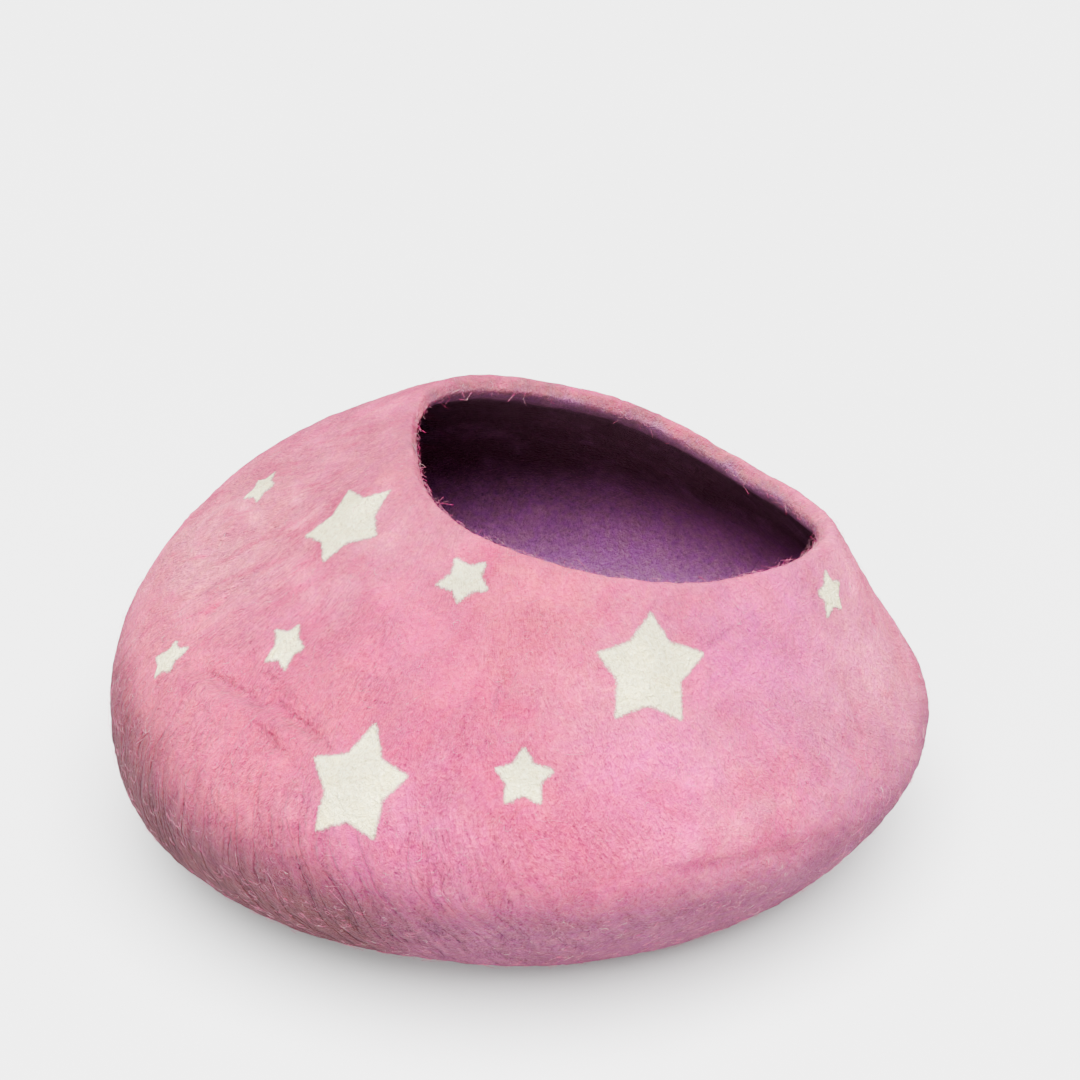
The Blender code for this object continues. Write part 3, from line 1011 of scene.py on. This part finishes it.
def overTheLip(tree, place, warped, colour, past, felt, where):
    ragged = (tree.noise(place, lip["raggedSize"], 3.0, 0.6) - 0.5) * lip["ragged"]
    ragged = ragged + felt["grain"] * lip["raggedGrain"] + felt["strokes"] * lip["raggedStrokes"]
    crossed = past + ragged + where["back"] * lip["backSooner"]
    clouds = tree.noise(warped, lip["cloudSize"], 3.0, 0.6).between(*lip["clouds"]) * lip["cloudShare"]
    # the inside: dark purple, with painted light low on its floor and in lighter clouds
    inner = tree.mix(clouds + where["paintedLightLowInside"], pinkFelt["purple"], pinkFelt["paintedLightInside"])
    # a mauve blend, partly painted light, and a band of painted light on the lip's inner face
    colour = tree.mix(crossed.between(*lip["mauve"]), colour, pinkFelt["mauve"])
    colour = tree.mix(crossed.between(*lip["lilac"]), colour, pinkFelt["paintedLightLip"])
    return tree.mix(crossed.between(*lip["inside"]), colour, inner)


# thin creases that only the material carries, as relief and as painted shade, in the columns of the
# folds; depth is a share
creases = (
    (217, 0.784, 4, 74, 4.2, 1.0),
    (231, 0.795, 163, 62, 4.0, 1.0),
    (229, 0.762, 163, 54, 4.0, 0.9),
    (224, 0.815, 170, 46, 3.4, 0.6),
    (257, 0.893, 80, 40, 4.4, 0.8),
    (255, 0.850, 78, 130, 5.5, 0.7),
    (298, 0.940, 15, 44, 3.6, 0.5),
    (300, 0.625, 171, 140, 4.6, 0.7),
    (192, 0.823, 90, 60, 3.8, 0.7),
    (198, 0.838, 95, 76, 3.8, 0.8),
    (186, 0.880, 92, 60, 4.2, 0.7),
)
creaseWaver = {"size": 9.0, "reach": 6.0, "thickness": 20.0}
# the nap low on the wall: upright ripples, fine cuts, and rubbed smears high on the left; the ripples
# and cuts also paint shade into the colour
nap = {
    "tilt": 0.35, "rippleWide": 5.5, "rippleLong": 38.0,
    "cutWide": 15.0, "cutLong": 90.0, "cutBlur": 0.03,
    "smearTilt": -0.1, "smearWide": 17.0, "smearLong": 28.0,
    "smears": (-0.03, 0.17), "smearShare": 0.70,
    "strokes": 0.8,              # and where the strokes show more, or less; low on the wall their stronger colour is partly painted shade of raking light
    "strokeGain": {"lower": 0.7, "paintedLeftShadeMask": -0.5, "upperLeft": 0.6},
    "lowerPebble": 0.3,
}


def creaseLines(tree, place, shift):
    wavy = place + (tree.noise(place, creaseWaver["size"], 2.0, output=1) - 0.5) * creaseWaver["reach"]
    lines = 0.0
    for crease in named(foldColumns, creases):
        middle, along, across, facing = slantedFrame(crease)
        offset = wavy - tuple(middle + shift)
        lengthways = offset.dot(along * 2.0 / crease["length"])
        sideways = offset.dot(across / crease["width"])
        inward = offset.dot(facing / creaseWaver["thickness"])
        away = lengthways * lengthways + sideways * sideways + inward * inward
        lines = lines + (1.0 - away.between(0.0, 1.0)) * crease["depth"]
    return lines


def rubbedNap(tree, place, where, shift):
    across, along = feltLie(tree, place)
    tilted = across + along * nap["tilt"]
    upright = stretched(tree, tilted, nap["rippleWide"], along, nap["rippleLong"])
    long = stretched(tree, tilted, nap["cutWide"], along, nap["cutLong"])
    rubbed = across + along * nap["smearTilt"]
    smeared = stretched(tree, rubbed, nap["smearWide"], along, nap["smearLong"])
    fromLine = abs(tree.noise(long, 1.0, 2.0, 0.5, 0.3) - 0.5)
    cuts = (1.0 - fromLine.between(0.0, nap["cutBlur"])) * where["lower"] * where["left"]
    return {"ripple": (tree.noise(upright, 1.0, 1.0, 0.5, 0.5) - 0.5) * where["lower"],
            "smears": (tree.noise(smeared, 1.0, 3.0, 0.6, 0.9) - 0.5) * where["upperLeft"],
            "cuts": cuts + creaseLines(tree, place, shift)}


def makePinkFelt(shift):
    material, tree, place = newMaterial("pinkWoolFelt")
    warped = place + (tree.noise(place, mottling["warpSize"], 2.0, output=1) - 0.5) * mottling["warp"]
    warpShare = mottling["stretchWarp"]
    where = wallStretches(warped * warpShare + place * (1.0 - warpShare))
    felt = feltFibres(tree, place)
    past = tree.add("ShaderNodeAttribute", {"attribute_name": "pastCrest"}, None, "Fac")

    colour = mottledPinks(tree, warped, shift)
    # painted shade where the wall turns under, in a duller mauve, and darker painted shade low at the
    # far left
    under = where["under"] + (felt["strokes"] + felt["pebble"]) * stretches["underFibres"]
    colour = tree.mix(under.between(*stretches["under"]), colour, pinkFelt["underside"])
    colour = tree.mix(where["paintedLeftShadeMask"], colour, pinkFelt["paintedLeftShade"])
    colour = overTheLip(tree, place, warped, colour, past, felt, where)
    hue = tree.noise(place + 150.0, mottling["hueSize"], 3.0, 0.6, 0.8).between(*mottling["hue"])
    colour = tree.mix(1.0, colour, tree.mix(hue, fibreHues["cool"], fibreHues["warm"]), "MULTIPLY")

    outside = 1.0 - past.between(*lip["strokesFade"]) * lip["fadedShare"]
    gain = weighted(where, nap["strokeGain"]) + nap["strokes"]
    felt["strokes"] = felt["strokes"] * gain * outside
    felt["pebble"] = felt["pebble"] * (where["lower"] * nap["lowerPebble"] + 1.0)
    felt.update(rubbedNap(tree, place, where, shift))
    smears = felt["smears"].between(*nap["smears"]) * nap["smearShare"]
    colour = tree.mix(smears, colour, pinkFelt["deep"])
    endFelt(tree, colour, felt, pinkFelt)
    return material


creamFelt = {
    "pale": (0.98, 0.90, 0.47),
    "straw": (0.96, 0.79, 0.27),
    "blush": (0.80, 0.36, 0.46),
    "patchSize": 9.0, "straws": (0.45, 0.75), "strawShare": 0.5,
    "blushInset": (-0.3, 1.3), "blushGrain": 2.0,        # in mm in from the star's outline
    "blushShare": 0.6,
    "edge": (-1.3, 1.2),         # in mm, where the felt thins out to loose fibres
    "slowSize": 3.2, "slowReach": 1.8, "fineSize": 0.8, "fineReach": 2.8, "strokeReach": 1.4,
    "light": {"strokes": 0.75, "curls": 0.12, "grain": 0.55, "pebble": 0.70},
    "bump": {"pebble": 6.5, "grain": 2.0, "strokes": 3.8, "curls": 0.5},
    "shade": {"slope": (0.9, 1.0, 1.5), "middle": (0.98, 0.98, 0.98)},
    "sheen": {"weight": 0.30, "roughness": 0.45, "tint": (1.0, 0.98, 0.92)},
}


def makeCreamFelt():
    material, tree, place = newMaterial("creamWoolFelt")
    felt = feltFibres(tree, place)
    inset = tree.add("ShaderNodeAttribute", {"attribute_name": "inset"}, None, "Fac")
    straw = tree.noise(place, creamFelt["patchSize"], 3.0, 0.6).between(*creamFelt["straws"])
    colour = tree.mix(straw * creamFelt["strawShare"], creamFelt["pale"], creamFelt["straw"])
    ragged = inset + felt["grain"] * creamFelt["blushGrain"]
    blush = 1.0 - ragged.between(*creamFelt["blushInset"])
    colour = tree.mix(blush * creamFelt["blushShare"], colour, creamFelt["blush"])
    # the edge ends in loose fibres that let the pink through
    slow = (tree.noise(place, creamFelt["slowSize"], 1.0) - 0.5) * creamFelt["slowReach"]
    fine = (tree.noise(place, creamFelt["fineSize"], 2.0, 0.6) - 0.5) * creamFelt["fineReach"]
    edge = inset + slow + fine + felt["strokes"] * creamFelt["strokeReach"]
    endFelt(tree, colour, felt, creamFelt, edge.between(*creamFelt["edge"]))
    return material


looseWool = {
    "pale": (0.44, 0.11, 0.19), "cream": (0.50, 0.30, 0.30),
    "size": 4.0, "pales": (0.35, 0.55), "creams": (0.58, 0.66),
    "roughness": 0.8, "roughnessSpread": 0.15,
    "sheen": {"weight": 0.2, "roughness": 0.4, "tint": (1.0, 0.9, 0.92)},
}


def makeLooseWool():
    material, tree, place = newMaterial("looseWool")
    kind = tree.noise(place, looseWool["size"], 2.0, 0.6)
    colour = tree.mix(kind.between(*looseWool["pales"]), pinkFelt["rose"], looseWool["pale"])
    colour = tree.mix(kind.between(*looseWool["creams"]), colour, looseWool["cream"])
    roughness = looseWool["roughness"] + kind * looseWool["roughnessSpread"]
    endMaterial(tree, colour, roughness, looseWool["sheen"])
    return material


stage = {
    "floorSize": 26000.0,
    "floorColours": ((0.60, 0.60, 0.60), (0.64, 0.64, 0.64)), "floorPatches": 400.0,
    "floorRoughness": 0.9, "floorRoughnessSpread": 0.05,
    "floorSheen": {"weight": 0.0, "roughness": 0.5, "tint": (1.0, 1.0, 1.0)},
    "world": (1.0, 1.0, 1.0), "worldStrength": 0.54,
    "camera": {"aim": (11.4, 0.0, 191.4), "distance": 1555.0, "elevation": 30.51, "azimuth": -0.17,
               "lens": 95.45},
}
# size is in mm for an area light and the spread in degrees for the sun
lightColumns = ("name", "kind", "place", "aim", "size", "strength")
lights = (
    ("key_light", "SUN", (60.0, -700.0, 1850.0), (0.0, 0.0, 100.0), 55.0, 23.5),
    ("fill_light", "AREA", (-250.0, -1700.0, 850.0), (0.0, 0.0, 150.0), 900.0, 40.0),
)


def makeFloorMaterial():
    material, tree, place = newMaterial("paleFloor")
    soft = tree.noise(place, stage["floorPatches"], 2.0)
    roughness = stage["floorRoughness"] + soft * stage["floorRoughnessSpread"]
    endMaterial(tree, tree.mix(soft, *stage["floorColours"]), roughness, stage["floorSheen"])
    return material


def makeFloor():
    half = stage["floorSize"] / 2.0
    corners = np.array([(-half, -half, 0.0), (half, -half, 0.0), (half, half, 0.0), (-half, half, 0.0)])
    floor = makeMesh("studio_floor", corners * mm, [(0, 1, 2, 3)], makeFloorMaterial())


def makeLights():
    for lamp in named(lightColumns, lights):
        data = bpy.data.lights.new(lamp["name"], lamp["kind"])
        data.energy = lamp["strength"]
        if lamp["kind"] == "SUN":
            data.angle = math.radians(lamp["size"])
        else:
            data.size = lamp["size"] * mm
        made = bpy.data.objects.new(lamp["name"], data)
        made.location = Vector(lamp["place"]) * mm
        towards = Vector(lamp["aim"]) - Vector(lamp["place"])
        made.rotation_euler = towards.to_track_quat("-Z", "Y").to_euler()
        bpy.context.scene.collection.objects.link(made)
    world = bpy.data.worlds.new("pale_surroundings")
    world.use_nodes = True
    ground = world.node_tree.nodes["Background"]
    ground.inputs["Color"].default_value = (*stage["world"], 1.0)
    ground.inputs["Strength"].default_value = stage["worldStrength"]
    bpy.context.scene.world = world


def makeCamera():
    view = stage["camera"]
    data = bpy.data.cameras.new("photo_camera")
    data.lens = view["lens"]
    made = bpy.data.objects.new("photo_camera", data)
    rise, turn = math.radians(view["elevation"]), math.radians(view["azimuth"])
    back = Vector((math.sin(turn) * math.cos(rise), -math.cos(turn) * math.cos(rise), math.sin(rise)))
    made.location = (Vector(view["aim"]) + back * view["distance"]) * mm
    made.rotation_euler = (-back).to_track_quat("-Z", "Y").to_euler()
    bpy.context.scene.collection.objects.link(made)
    bpy.context.scene.camera = made


makeCamera()
makeLights()
makeFloor()
print("floor, lights and camera placed")

shift = pouchShift()
pinkMaterial = makePinkFelt(shift)
creamMaterial = makeCreamFelt()
looseWoolMaterial = makeLooseWool()
print("pink felt, cream felt and loose wool mixed")

body = makePouchBody(pinkMaterial, shift)
reliefTree = makeReliefTree(shift)
pouchPiece = runTree(body, reliefTree, {**relief, "Material": pinkMaterial}, "felt_pouch_wall")
bpy.data.objects.remove(body)
surface = BVHTree.FromPolygons([v.co for v in pouchPiece.data.vertices],
                               [tuple(f.vertices) for f in pouchPiece.data.polygons])
for number, row in enumerate(named(starColumns, stars)):
    piece = makeStar(row, number, shift, surface, creamMaterial)
    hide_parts(row["name"])
    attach(piece, "root")

fuzzTree = makeFuzzTree()
for layer in fuzzLayers:
    fuzz = runTree(pouchPiece, fuzzTree, {**layer, "Material": looseWoolMaterial}, layer["name"])
    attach(fuzz, "root")

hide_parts("felt_shell")
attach(pouchPiece, "root")
